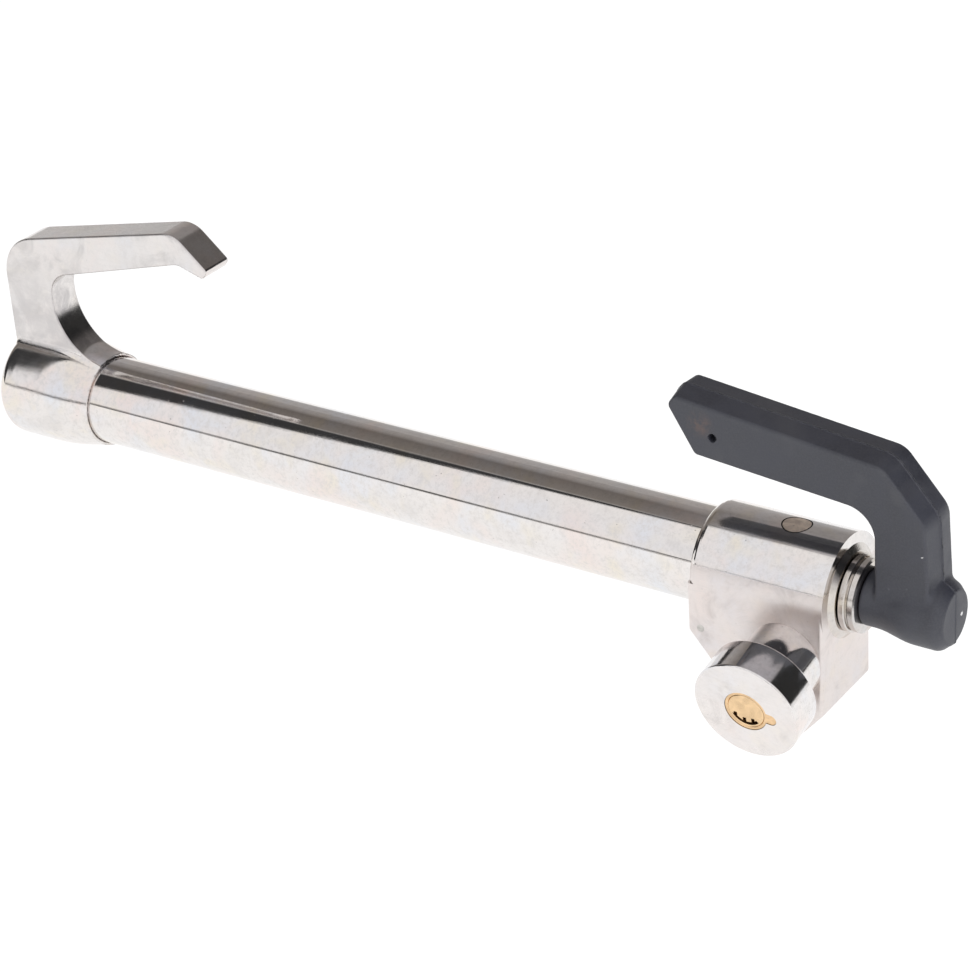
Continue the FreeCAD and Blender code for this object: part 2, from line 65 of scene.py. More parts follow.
class Graph:
    """Short calls for building one node tree."""

    def __init__(self, tree):
        self.tree = tree
        tree.nodes.clear()

    def node(self, kind, inputs=None, **settings):
        made = self.tree.nodes.new("ShaderNode" + kind)
        for name, value in settings.items():
            setattr(made, name, value)
        for name, value in (inputs or {}).items():
            self.set(made.inputs[name], value)
        return made

    def set(self, socket, value):
        if isinstance(value, bpy.types.NodeSocket):
            self.tree.links.new(value, socket)
        else:
            socket.default_value = value

    def math(self, operation, a, b=0.0):
        made = self.node("Math", operation=operation)
        self.set(made.inputs[0], a)
        self.set(made.inputs[1], b)
        return made.outputs[0]

    def times(self, *values):
        """Product of two or more values."""
        product = values[0]
        for value in values[1:]:
            product = self.math("MULTIPLY", product, value)
        return product

    def smooth(self, value, low, high, start=0.0, stop=1.0):
        """start up to low, stop from high on, with an even passage between them."""
        made = self.node("MapRange", {
            "Value": value, "From Min": low, "From Max": high, "To Min": start, "To Max": stop,
        }, interpolation_type="SMOOTHSTEP")
        return made.outputs["Result"]

    def mix(self, factor, a, b):
        made = self.node("Mix", data_type="RGBA")
        self.set(made.inputs[0], factor)
        self.set(made.inputs[6], a)
        self.set(made.inputs[7], b)
        return made.outputs[2]

    def ramp(self, value, stops):
        made = self.node("ValToRGB", {"Fac": value})
        elements = made.color_ramp.elements
        while len(elements) < len(stops):
            elements.new(0.5)
        for element, (place, colour) in zip(elements, stops):
            element.position = place
            element.color = colour
        return made.outputs["Color"]

    def place(self, scale=(1, 1, 1), shift=(0, 0, 0)):
        """Object coordinates in metres, stretched and moved."""
        source = self.node("TexCoord").outputs["Object"]
        made = self.node("Mapping", {"Vector": source, "Location": shift, "Scale": scale})
        return made.outputs["Vector"]

    def distance(self, vector, place):
        made = self.node("VectorMath", {0: vector, 1: place}, operation="DISTANCE")
        return made.outputs["Value"]

    def noise(self, vector, scale, detail=3.0, rough=0.5, distortion=0.0):
        made = self.node("TexNoise", {
            "Vector": vector, "Scale": scale, "Detail": detail,
            "Roughness": rough, "Distortion": distortion,
        })
        return made.outputs["Fac"]

    def ragged(self, vector, scale, reach):
        """The vector pushed about by noise, so that round spots become uneven."""
        push = self.node("TexNoise", {"Vector": vector, "Scale": scale, "Detail": 1.0})
        made = self.node("VectorMath", operation="MULTIPLY_ADD")
        self.set(made.inputs[0], push.outputs["Color"])
        self.set(made.inputs[1], (reach, reach, reach))
        self.set(made.inputs[2], vector)
        return made.outputs["Vector"]

    def spots(self, vector, scale, size, soft, share):
        """1 in scattered round spots, 0 elsewhere; share is how many cells hold one."""
        cell = self.node("TexVoronoi", {"Vector": vector, "Scale": scale, "Randomness": 1.0})
        near = self.smooth(cell.outputs["Distance"], size, size + soft, 1.0, 0.0)
        kept = self.node("SeparateColor", {"Color": cell.outputs["Color"]}).outputs["Red"]
        return self.times(near, self.math("LESS_THAN", kept, share))

    def bump(self, height, distance, strength, normal=None):
        made = self.node("Bump", {"Height": height, "Distance": distance, "Strength": strength})
        if normal is not None:
            self.set(made.inputs["Normal"], normal)
        return made.outputs["Normal"]

    def surface(self, **sockets):
        """Principled shader; underscores in the names stand for spaces."""
        named = {name.replace("_", " "): value for name, value in sockets.items()}
        shader = self.node("BsdfPrincipled", named)
        output = self.node("OutputMaterial")
        self.tree.links.new(shader.outputs[0], output.inputs["Surface"])


def rgb(red, green, blue):
    return (red, green, blue, 1.0)


def grey(value):
    return (value, value, value, 1.0)


def shaded(tone, red, green, blue):
    """Colour of a tone with each channel multiplied by its own share."""
    return rgb(tone[0] * red, tone[1] * green, tone[2] * blue)


def new_material(name):
    material = bpy.data.materials.new(name)
    material.use_nodes = True
    return material, Graph(material.node_tree)


def place_parts(g):
    """Object coordinates and normal, axis by axis."""
    coordinates = g.node("TexCoord")
    place = g.node("SeparateXYZ", {"Vector": coordinates.outputs["Object"]}).outputs
    facing = g.node("SeparateXYZ", {"Vector": coordinates.outputs["Normal"]}).outputs
    return place, facing


# ---- plated metal ----------------------------------------------------------------

# Ranges over which a finish or the hook's painted shade sets in, from none to all of it: metres,
# or a part of the normal.
HOOK_ROOT_FADE_Z = (0.062, 0.030)
HOOK_ROOT_START_Z = (0.019, 0.021)
HOOK_THROAT_FACING = (0.25, 0.60)
HOOK_OUTSIDE_CAP = (0.0198, 0.0206)
HOOK_SIDE_FACING = (0.10, 0.35)
BLOCK_FLAT_Z = (0.0067, 0.0063)
BLOCK_END_FACING = (0.90, 0.97)
BLOCK_END_Z = (-0.0125, -0.0155)
BLOCK_BEHIND_BOSS_Y = (-0.01965, -0.0194)
GUARD_FACE_FACING = (-0.90, -0.97)
BRUSH_GRAIN = (140.0, 2200.0, 2200.0)


def hook_painted_shade(g):
    """Painted shade: the hook's throat faces are darker than its finger, and the hook is darker
    towards its root, unevenly.
    """
    place, facing = place_parts(g)
    root = g.times(g.smooth(place[2], *HOOK_ROOT_FADE_Z), g.smooth(place[2], *HOOK_ROOT_START_Z))
    throat = g.smooth(facing[0], *HOOK_THROAT_FACING)
    uneven = g.smooth(g.noise(g.place(shift=(4.0, 1.0, 2.0)), 110.0, 4.0, 0.6, 0.6), 0.30, 0.62)
    # Painted shade share: 0.55 of it towards the root, all of it on the throat faces near the
    # root, broken up by noise.
    dull = g.math("MAXIMUM", g.times(root, 0.55), g.times(throat, root))
    return g.times(dull, uneven)


def hook_satin(g):
    """The hook's flat sides are satin, its edges less so, and the round cap is polished."""
    place, facing = place_parts(g)
    squares = g.math("ADD", g.math("POWER", place[1], 2.0), g.math("POWER", place[2], 2.0))
    from_axis = g.math("POWER", squares, 0.5)
    side = g.smooth(g.math("ABSOLUTE", facing[1]), *HOOK_SIDE_FACING, 0.45, 1.0)
    return g.times(g.smooth(from_axis, *HOOK_OUTSIDE_CAP), side)


def block_satin(g):
    """The block's flat faces are satin, its round sleeve and the lock boss are polished."""
    place, facing = place_parts(g)
    ends = g.times(g.smooth(g.math("ABSOLUTE", facing[0]), *BLOCK_END_FACING),
                   g.smooth(place[2], *BLOCK_END_Z))
    flat = g.math("MAXIMUM", g.smooth(place[2], *BLOCK_FLAT_Z), ends)
    return g.times(flat, g.smooth(place[1], *BLOCK_BEHIND_BOSS_Y))


def guard_satin(g):
    """The guard's round face is satin, its side is polished."""
    _, facing = place_parts(g)
    return g.smooth(facing[1], *GUARD_FACE_FACING)


def plate_colour(g, tone, large, other, fine):
    """Milky pink, blue and straw clouds on the plate, and a duller haze."""
    third = g.noise(g.place(shift=(0.7, 5.3, 2.4)), 95.0, 2.0, 0.5, 0.3)
    dull = shaded(tone, 0.84, 0.84, 0.84)
    colour = g.mix(g.smooth(large, 0.44, 0.74), rgb(*tone), shaded(tone, 1.02, 0.945, 0.92))
    colour = g.mix(g.smooth(other, 0.46, 0.76), colour, shaded(tone, 0.93, 0.98, 1.05))
    colour = g.mix(g.smooth(third, 0.50, 0.80), colour, shaded(tone, 1.0, 0.97, 0.88))
    colour = g.mix(g.smooth(large, 0.46, 0.22, 0.0, 0.7), colour, dull)
    return g.mix(g.smooth(fine, 0.42, 0.70, 0.0, 0.75), colour, dull)


def brush(g, share, other, tone, satin_tone, satin_rough, plate):
    """Brushed, stained satin over the plate where share is 1: colour, roughness and height."""
    colour, roughness, height = plate
    brushed = g.smooth(other, 0.3, 0.7, satin_rough - 0.03, satin_rough + 0.05)
    spread = g.math("SUBTRACT", brushed, roughness)
    roughness = g.math("ADD", roughness, g.times(spread, share))
    lines = g.noise(g.place(scale=BRUSH_GRAIN), 1.0, 4.0, 0.75)
    height = g.math("ADD", height, g.times(lines, share, 1.2))
    colour = g.mix(share, colour, g.mix(0.45, rgb(*satin_tone), colour))
    stain = g.smooth(g.noise(g.place(shift=(2.2, 0.4, 1.3)), 75.0, 5.0, 0.65, 0.9), 0.48, 0.78)
    colour = g.mix(g.times(stain, share, 0.55), colour, shaded(satin_tone, 0.62, 0.62, 0.62))
    combed = g.times(g.smooth(lines, 0.50, 0.80, 0.0, 0.5), share)
    return g.mix(combed, colour, shaded(tone, 0.84, 0.84, 0.84)), roughness, height


def plated(name, tone, rough, cloud, grain, grain_depth, pits, wave=0.0,
           satin=None, satin_rough=0.0, satin_tone=None, painted_shade=None):
    """Polished nickel-chrome plate: milky clouds, haze, pits and fine grain.

    satin and the painted shade function, if given, turn the graph into a 0 to 1 share: of the
    satin finish, and of painted shade that darkens the plate."""
    material, g = new_material(name)
    here = g.place()
    large = g.noise(here, 42.0, 3.0, 0.55, 0.6)
    other = g.noise(g.place(shift=(3.1, 1.7, 0.4)), 60.0, 3.0, 0.55, 0.4)
    fine = g.noise(here, 480.0, 5.0, 0.78)
    colour = plate_colour(g, tone, large, other, fine)
    patchy = g.smooth(g.noise(here, 130.0, 2.0, 0.6), 0.52, 0.60)
    specks = g.times(g.spots(g.ragged(here, 1400.0, 0.0006), 620.0, 0.05, 0.14, pits), patchy)
    colour = g.mix(g.times(specks, 0.45), colour, rgb(0.13, 0.12, 0.11))
    scratches = g.noise(g.place(scale=grain), 1.0, 3.0, 0.7)
    roughness = g.math("ADD", g.smooth(other, 0.35, 0.70, 0.0, cloud), rough)
    roughness = g.math("ADD", roughness, g.smooth(scratches, 0.40, 0.70, 0.0, cloud * 0.5))
    roughness = g.math("ADD", roughness, g.smooth(fine, 0.3, 0.7, -0.01, 0.02))
    height = g.math("SUBTRACT", g.times(scratches, grain_depth), specks)
    if satin:
        plate = (colour, roughness, height)
        plate = brush(g, satin(g), other, tone, satin_tone, satin_rough, plate)
        colour, roughness, height = plate
    if painted_shade:
        # Painted shade: the plate is darkened where the shade share is 1.
        colour = g.mix(painted_shade(g), colour, shaded(tone, 0.62, 0.62, 0.64))
    normal = g.bump(height, 0.00004, 0.6)
    if wave:
        normal = g.bump(g.noise(here, 120.0, 1.0, 0.4), wave, 1.0, normal)
    g.surface(Base_Color=colour, Metallic=1.0, Roughness=roughness, Normal=normal)
    return material


# ---- bare metal ------------------------------------------------------------------

def middle_from_above(node):
    """X and Y of the middle of a node's box."""
    low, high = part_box(node)
    return ((low[0] + high[0]) / 2, (low[1] + high[1]) / 2)


def plain_metal(name, tone, rough, grain, spread=0.12, speck=0.3, stained=0.72, gap_shadow_rim=None):
    """Bare machined metal with cutting lines, stain and small dark spots.

    rim, if given, is the (x, y) and radius outside which the metal is painted near black: a
    painted shadow of the gap around the part."""
    material, g = new_material(name)
    lines = g.noise(g.place(scale=grain), 1.0, 4.0, 0.75)
    stain = g.noise(g.place(), 260.0, 4.0, 0.6, 0.5)
    dark = shaded(tone, stained, stained, stained)
    light = rgb(*[min(channel * 1.08, 1.0) for channel in tone])
    colour = g.mix(g.smooth(stain, 0.35, 0.70), dark, light)
    colour = g.mix(g.smooth(lines, 0.55, 0.75, 0.0, 0.35), colour, dark)
    if gap_shadow_rim:
        (x, y), radius = gap_shadow_rim
        out = g.distance(g.place(scale=(1, 1, 0)), (x, y, 0.0))
        # Painted shadow of the gap: near black outside the radius.
        colour = g.mix(g.smooth(out, radius, radius + 0.0002), colour, grey(0.02))
    dots = g.spots(g.place(), 700.0, 0.06, 0.12, speck)
    colour = g.mix(g.times(dots, 0.5), colour, grey(0.03))
    roughness = g.smooth(stain, 0.2, 0.8, rough, rough + spread)
    normal = g.bump(lines, 0.00001, 0.7)
    g.surface(Base_Color=colour, Metallic=1.0, Roughness=roughness, Normal=normal)
    return material


# ---- rubber ----------------------------------------------------------------------

RUST_PLACE = (0.2925, -0.008, 0.0510)
RUST_REACH = (0.0005, 0.0060)
RUBBER_SPECKS = [
    ((0.3690, -0.0078, 0.0231), 0.00045), ((0.3708, 0.0017, 0.0133), 0.0008),
    ((0.3765, 0.0042, -0.0007), 0.0009),
]


def rubber_colour(g, here, cloud, skin):
    """Blue-black skin, mottled and smeared, with rubbed edges, a rusty smudge and pale specks."""
    colour = g.mix(g.smooth(cloud, 0.3, 0.7), rgb(0.009, 0.0105, 0.019), rgb(0.022, 0.024, 0.036))
    mottle = g.smooth(skin, 0.40, 0.62, 0.0, 0.5)
    colour = g.mix(mottle, colour, rgb(0.030, 0.031, 0.040))
    smear = g.noise(g.place(shift=(1.0, 0.3, 0.2)), 40.0, 3.0, 0.6, 0.8)
    colour = g.mix(g.smooth(smear, 0.50, 0.72, 0.0, 0.7), colour, rgb(0.034, 0.035, 0.043))
    rubbed = g.smooth(g.node("NewGeometry").outputs["Pointiness"], 0.56, 0.66)
    rubbed = g.times(rubbed, g.smooth(g.noise(here, 300.0), 0.35, 0.60))
    colour = g.mix(g.times(rubbed, 0.35), colour, rgb(0.085, 0.088, 0.10))
    near = g.smooth(g.distance(here, RUST_PLACE), *RUST_REACH, 1.0, 0.0)
    rust = g.times(near, g.smooth(g.noise(here, 420.0, 3.0, 0.6), 0.30, 0.65))
    colour = g.mix(g.times(rust, 0.55), colour, rgb(0.11, 0.060, 0.042))
    for place, size in RUBBER_SPECKS:
        uneven = g.smooth(g.noise(here, 1500.0), 0.3, 0.7, -0.0002, 0.0002)
        away = g.math("ADD", g.distance(here, place), uneven)
        colour = g.mix(g.smooth(away, size * 0.6, size, 0.9, 0.0), colour, grey(0.62))
    return colour


def rubber_material(name):
    """Dark blue-grey moulded rubber with a fine skin."""
    material, g = new_material(name)
    here = g.place()
    cloud = g.noise(here, 70.0, 4.0, 0.6, 0.4)
    skin = g.noise(here, 1500.0, 4.0, 0.7)
    colour = rubber_colour(g, here, cloud, skin)
    roughness = g.smooth(cloud, 0.25, 0.75, 0.42, 0.58)
    normal = g.bump(skin, 0.00005, 0.7)
    normal = g.bump(g.noise(here, 160.0, 3.0, 0.5), 0.0003, 0.4, normal)
    g.surface(Base_Color=colour, Metallic=0.0, Roughness=roughness, Normal=normal,
              Specular_IOR_Level=0.85, Sheen_Weight=0.02, Sheen_Roughness=0.4)
    return material


# ---- materials by slot -------------------------------------------------------------

CAST_TONE = (0.795, 0.765, 0.745)
LATHE = (9000.0, 120.0, 120.0)
LENGTHWISE = (25.0, 2600.0, 2600.0)
TUBE_GRAIN = (6.0, 3000.0, 3000.0)
EVEN_GRAIN = (900.0, 900.0, 900.0)
CASTING_WAVE = 0.00003
PLUG_FACE_R = 0.00445

materials = {
    # The hook casting carries painted shade in its throat and towards its root.
    "chrome_casting": plated(
        "cast chrome", CAST_TONE, rough=0.035, cloud=0.07, grain=LENGTHWISE, grain_depth=0.35,
        pits=0.5, wave=CASTING_WAVE, satin=hook_satin, satin_rough=0.34,
        satin_tone=(0.765, 0.74, 0.73), painted_shade=hook_painted_shade),
    "chrome_block": plated(
        "block chrome", CAST_TONE, rough=0.04, cloud=0.06, grain=LENGTHWISE, grain_depth=0.35,
        pits=0.5, wave=CASTING_WAVE, satin=block_satin, satin_rough=0.33,
        satin_tone=(0.75, 0.675, 0.65)),
    "chrome_tube": plated(
        "tube chrome", (0.80, 0.77, 0.75), rough=0.02, cloud=0.04, grain=TUBE_GRAIN,
        grain_depth=0.25, pits=0.3),
    "chrome_guard": plated(
        "guard chrome", (0.82, 0.79, 0.77), rough=0.05, cloud=0.06, grain=EVEN_GRAIN,
        grain_depth=0.2, pits=0.4, wave=CASTING_WAVE, satin=guard_satin, satin_rough=0.28,
        satin_tone=(0.82, 0.775, 0.755)),
    # The plug's edge carries a painted shadow of the gap around it.
    "chrome_plug": plain_metal(
        "plug steel", (0.97, 0.82, 0.71), rough=0.55, grain=(3500.0, 90.0, 90.0),
        gap_shadow_rim=(middle_from_above("bore_plug"), PLUG_FACE_R)),
    "chrome_turned": plated(
        "turned chrome", (0.66, 0.62, 0.58), rough=0.12, cloud=0.06, grain=LATHE,
        grain_depth=0.5, pits=0.1),
    "chrome_rod": plated(
        "rod chrome", (0.76, 0.745, 0.73), rough=0.08, cloud=0.06, grain=LATHE,
        grain_depth=0.4, pits=0.1),
    "steel_pins": plain_metal(
        "pin steel", (0.62, 0.60, 0.57), rough=0.30, grain=(1500.0, 1500.0, 1500.0)),
    "plain_steel": plain_metal(
        "plain steel", (0.50, 0.49, 0.48), rough=0.30, grain=(700.0, 900.0, 700.0)),
    "spring_steel": plain_metal(
        "spring steel", (0.42, 0.42, 0.43), rough=0.26, grain=EVEN_GRAIN),
    "brass": plain_metal(
        "shell brass", (0.83, 0.58, 0.34), rough=0.28, grain=EVEN_GRAIN, spread=0.08,
        speck=0.1, stained=0.84),
    "brass_plug": plain_metal(
        "plug brass", (0.85, 0.61, 0.36), rough=0.26, grain=(5000.0, 300.0, 300.0),
        spread=0.08, speck=0.1, stained=0.84),
    "grip_rubber": rubber_material("grip rubber"),
}


def paint_nodes():
    """Each node gets the material of its slot; the lock block has a finish of its own."""
    for name, node in nodes.items():
        for holder in node.material_slots:
            slot = holder.material.name.split(".")[0]
            if name == "lock_housing":
                slot = "chrome_block"
            holder.material = materials[slot]


paint_nodes()


# ---- distance fields, in mm ---------------------------------------------------------

def unit(vector):
    return vector / np.linalg.norm(vector)


class Outline:
    """Closed outline of straight runs and tangent arcs, from (x, z, corner radius) in mm."""

    def __init__(self, corners):
        places = np.array([corner[:2] for corner in corners], float)
        self.ends = []
        self.drawn = []
        self.arcs = []
        for i, (_, _, radius) in enumerate(corners):
            here = places[i]
            to_last = unit(places[i - 1] - here)
            to_next = unit(places[(i + 1) % len(places)] - here)
            if radius:
                half = math.acos(to_last @ to_next) / 2
                outward = -unit(to_last + to_next)
                middle = here - outward * (radius / math.sin(half))
                reach = radius / math.tan(half)
                self.ends += [here + to_last * reach, here + to_next * reach]
                self.drawn += [False, True]
                self.arcs.append((middle, radius, outward, math.sin(half)))
            else:
                self.ends.append(here)
                self.drawn.append(True)

    def distance(self, points):
        """Signed distance of 2D points, negative inside."""
        nearest = np.full(len(points), np.inf)
        inside = np.zeros(len(points), bool)
        level = points[:, 1]
        for i, start in enumerate(self.ends):
            along = self.ends[(i + 1) % len(self.ends)] - start
            if along[1] != 0:
                crossed = (start[1] <= level) != (start[1] + along[1] <= level)
                cut = start[0] + (level - start[1]) / along[1] * along[0]
                inside ^= crossed & (cut > points[:, 0])
            if self.drawn[i]:
                away = points - start
                share = np.clip(away @ along / max(along @ along, 1e-12), 0, 1)
                gap = away - share[:, None] * along
                nearest = np.minimum(nearest, (gap ** 2).sum(1))
        nearest = np.sqrt(nearest)
        for middle, radius, outward, spread in self.arcs:
            away = points - middle
            size = np.hypot(away[:, 0], away[:, 1])
            ahead = away @ outward
            facing = ahead >= size * spread
            nearest = np.where(facing, np.minimum(nearest, np.abs(size - radius)), nearest)
            inside ^= (size < radius) & (ahead > radius * spread)
        return np.where(inside, -nearest, nearest)


def join(a, b, blend):
    """Union of two fields with a fillet of about that size."""
    share = np.clip(0.5 + 0.5 * (b - a) / blend, 0, 1)
    return b + (a - b) * share - blend * share * (1 - share)


def rounded_and(a, b, radius):
    """Intersection of two fields with its edge rounded."""
    over_a = np.maximum(a + radius, 0)
    over_b = np.maximum(b + radius, 0)
    return np.minimum(np.maximum(a, b) + radius, 0) + np.hypot(over_a, over_b) - radius


def carve(a, tool, radius):
    """a without the tool, its new edge rounded."""
    return rounded_and(a, -tool, radius)


def rise(value, start, length):
    """0 up to start, 1 from start + length on, straight between; a negative length runs down."""
    return np.clip((value - start) / length, 0, 1)


# ---- meshes from distance fields -----------------------------------------------------

PITCH = 0.5
BLOCK = 5
BLOCK_REACH = PITCH * BLOCK * 1.3
FAR = 1000.0
NET_PASSES = 3
SLOPE_STEP = PITCH * 0.1
LEAST_SLOPE_SQUARED = 0.05


def sampled(field, low, counts):
    """Field values on a grid, worked out only in the blocks that may hold the surface."""
    blocks = -(-counts // BLOCK)
    middle = np.stack(np.meshgrid(*[np.arange(n) for n in blocks], indexing="ij"), -1)
    middle = low + PITCH * (middle * BLOCK + (BLOCK - 1) / 2)
    values = field(middle.reshape(-1, 3)).reshape(blocks)
    for axis in range(3):
        values = values.repeat(BLOCK, axis)[tuple(slice(0, counts[k]) for k in range(axis + 1))]
    near = np.abs(values) < BLOCK_REACH
    values = np.where(values < 0, -FAR, FAR)
    values[near] = field(low + PITCH * np.stack(np.nonzero(near), 1))
    return values


def edge_cuts(values, cells):
    """For each grid cell, the sum and number of the places where its edges cross the surface."""
    total = np.zeros((*cells, 3))
    hits = np.zeros(cells)

    def at(corner):
        return values[tuple(slice(corner[k], corner[k] + cells[k]) for k in range(3))]

    for corner in [(i, j, k) for i in (0, 1) for j in (0, 1) for k in (0, 1)]:
        for axis in range(3):
            if corner[axis]:
                continue
            other = tuple(1 if k == axis else corner[k] for k in range(3))
            a, b = at(corner), at(other)
            crossed = (a < 0) != (b < 0)
            share = np.where(crossed, a / np.where(crossed, a - b, 1.0), 0.0)
            place = np.zeros((*cells, 3)) + np.array(corner)
            place[..., axis] += share
            total += np.where(crossed[..., None], place, 0.0)
            hits += crossed
    return total, hits


def net_faces(solid, index):
    """One outward quad across every inner grid edge that crosses the surface."""
    faces = []
    for axis in range(3):
        u, v = [k for k in range(3) if k != axis]
        first = [slice(1, -1)] * 3
        second = [slice(1, -1)] * 3
        first[axis] = slice(0, -1)
        second[axis] = slice(1, None)
        a, b = solid[tuple(first)], solid[tuple(second)]
        edges = np.stack(np.nonzero(a != b), 1)
        leaving = a[tuple(edges.T)]
        ring = []
        for step_u, step_v in ((0, 0), (1, 0), (1, 1), (0, 1)):
            cell = edges.copy()
            cell[:, u] += step_u
            cell[:, v] += step_v
            ring.append(index[tuple(cell.T)])
        quads = np.stack(ring, 1)
        flip = leaving if axis == 1 else ~leaving
        quads[flip] = quads[flip][:, ::-1]
        faces.append(quads)
    return np.concatenate(faces)


def slope(field, points):
    """Gradient of a field, by central differences."""
    found = np.empty_like(points)
    for axis in range(3):
        shift = np.zeros(3)
        shift[axis] = SLOPE_STEP
        found[:, axis] = (field(points + shift) - field(points - shift)) / (2 * SLOPE_STEP)
    return found


def surface_net(name, field, low, high):
    """Quad mesh of field = 0 in a box, its vertices drawn onto the surface."""
    low = np.array(low, float)
    counts = np.ceil((np.array(high, float) - low) / PITCH).astype(int) + 1
    values = sampled(field, low, counts)
    total, hits = edge_cuts(values, counts - 1)
    active = hits > 0
    index = np.full(counts - 1, -1)
    index[active] = np.arange(active.sum())
    cells = np.stack(np.nonzero(active), 1)
    points = low + PITCH * (cells + total[active] / hits[active][:, None])
    for _ in range(NET_PASSES):
        normals = slope(field, points)
        size = np.maximum((normals ** 2).sum(1), LEAST_SLOPE_SQUARED)
        move = -(field(points) / size)[:, None] * normals
        points += np.clip(move, -PITCH / 2, PITCH / 2)
    normals = slope(field, points)
    normals /= np.linalg.norm(normals, axis=1)[:, None]
    return smooth_mesh(name, points * MM, net_faces(values < 0, index), normals)


def smooth_mesh(name, points, faces, normals):
    """Object in the scene with a mesh that is shaded by its own normals."""
    mesh = bpy.data.meshes.new(name)
    mesh.from_pydata(points.tolist(), [], faces.tolist())
    mesh.polygons.foreach_set("use_smooth", [True] * len(mesh.polygons))
    mesh.update()
    mesh.normals_split_custom_set_from_vertices(normals.tolist())
    piece = bpy.data.objects.new(name, mesh)
    bpy.context.scene.collection.objects.link(piece)
    return piece


def stand_in(piece, body, node, slot):
    """piece takes the place of a CAD node on its body."""
    piece.data.materials.append(materials[slot])
    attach(piece, body)
    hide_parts(node)


# ---- rubber grip -----------------------------------------------------------------

GRIP_OUTLINE = [
    (283.4, 58.7, 1.5), (355.3, 50.3, 7.0), (369.6, 33.6, 7.0), (371.3, 2.0, 0),
    (352.8, 2.0, 0), (352.8, 34.0, 10.5), (290.2, 39.9, 2.0), (280.8, 55.3, 2.0),
]
GRIP_BOX = ((278.0, -13.5, -13.5), (379.0, 13.5, 62.5))
GRIP_HALF = 8.0
GRIP_DRAFT = 1.4
GRIP_BACK_DRAFT = 0.5
GRIP_EDGE = 0.9
HUB_START = 347.7
HUB_PROFILE = [
    (0.0, -6.0, 0), (0.0, 9.25, 0.8), (6.5, 9.25, 25.0), (16.0, 11.35, 25.0),
    (26.0, 11.35, 3.0), (28.8, 8.8, 1.2), (28.8, -6.0, 0),
]
HUB_OUTLINE = [(HUB_START + along, out, radius) for along, out, radius in HUB_PROFILE]
ARM_BLEND = 0.5
ARM_BLEND_ABOVE = 1.5
ARM_BLEND_Z = (2.5, 5.0)

# The moulding seam: how far it stands out, its half width, and what the leg's outside adds.
SEAM_Y = 0.1
SEAM_OUT, SEAM_HALF, SEAM_EDGE = 0.20, 0.22, 0.2
LEG_SEAM_OUT, LEG_SEAM_HALF = 0.25, 0.10
LEG_SEAM_X = (362.0, 6.0)
LEG_SEAM_Z = (40.0, -8.0)
HUB_SEAM_OUT, HUB_SEAM_HALF, HUB_SEAM_EDGE = 0.3, 0.3, 0.25
HUB_SEAM_START = HUB_START + 18.0
HUB_SEAM_FADE_LENGTH, HUB_SEAM_FADE_SLOPE = 8.0, 0.1
SEAM_BLEND = 0.25

PEEP_HOLE_X, PEEP_HOLE_Z, PEEP_HOLE_R = 296.8, 47.1, 1.35
PEEP_HOLE_FLOOR_Y = -4.6
PEEP_HOLE_EDGE = 0.25
ROD_BORE_R = 5.55
ROD_BORE_END_X = 371.0
ROD_BORE_EDGE = 0.2

grip_side = Outline(GRIP_OUTLINE)
hub_side = Outline(HUB_OUTLINE)


def seam_field(x, y, z, side, hub):
    """Low ridge along the parting plane of the grip and its hub."""
    on_leg = rise(x, *LEG_SEAM_X) * rise(z, *LEG_SEAM_Z)
    out = SEAM_OUT + LEG_SEAM_OUT * on_leg
    half = SEAM_HALF + LEG_SEAM_HALF * on_leg
    seam = rounded_and(side - out, np.abs(y - SEAM_Y) - half, SEAM_EDGE)
    hub_seam = rounded_and(hub - HUB_SEAM_OUT, np.abs(y - SEAM_Y) - HUB_SEAM_HALF, HUB_SEAM_EDGE)
    fade = np.clip(HUB_SEAM_START - x, 0, HUB_SEAM_FADE_LENGTH) * HUB_SEAM_FADE_SLOPE
    return np.minimum(seam, hub_seam + fade)


def grip_field(points):
    x, y, z = points.T
    side = grip_side.distance(points[:, [0, 2]]) - GRIP_DRAFT
    hub = hub_side.distance(np.stack([x, np.hypot(y, z)], 1))
    inset = np.where(y < 0, -y / GRIP_HALF * GRIP_DRAFT, y / GRIP_HALF * GRIP_BACK_DRAFT)
    arm = rounded_and(side + inset, np.abs(y) - GRIP_HALF, GRIP_EDGE)
    body = join(arm, hub, ARM_BLEND + ARM_BLEND_ABOVE * rise(z, *ARM_BLEND_Z))
    body = join(body, seam_field(x, y, z, side, hub), SEAM_BLEND)
    hole = np.hypot(x - PEEP_HOLE_X, z - PEEP_HOLE_Z) - PEEP_HOLE_R
    body = carve(body, np.maximum(hole, y - PEEP_HOLE_FLOOR_Y), PEEP_HOLE_EDGE)
    bore = np.maximum(np.hypot(y, z) - ROD_BORE_R, x - ROD_BORE_END_X)
    return carve(body, bore, ROD_BORE_EDGE)


def make_grip():
    grip = surface_net("grip", grip_field, *GRIP_BOX)
    stand_in(grip, "handle", "grip_rubber", "grip_rubber")


make_grip()


# ---- end cap and left hook ---------------------------------------------------------

